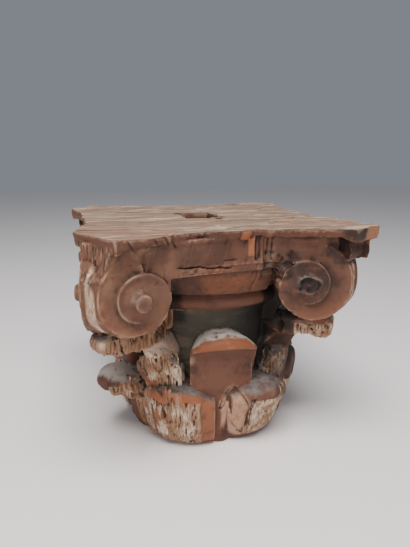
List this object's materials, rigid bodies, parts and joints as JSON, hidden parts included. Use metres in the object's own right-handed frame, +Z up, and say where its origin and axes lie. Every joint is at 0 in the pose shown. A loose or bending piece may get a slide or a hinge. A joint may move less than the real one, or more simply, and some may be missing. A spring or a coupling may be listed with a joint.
{
  "type": "corinthian capital",
  "caption": "Old carved wooden capital: square concave-sided abacus with horns, corner volutes and broken leaves round a plain bell; rests on its underside.",
  "frame": {"origin": "centre of the underside, on the bell's axis, where the capital rests", "axes": "+Z up to the top of the abacus, -Y towards the front face seen in the picture, +X to its right"},
  "size_m": [0.4189, 0.448, 0.334],
  "materials": {
    "carved_wood": "old carved softwood with worn brown and dark green paint, chalky gesso in the leaves and fresh breaks"
  },
  "bodies": {
    "root": {"capital": "carved_wood"}
  },
  "joints": []
}
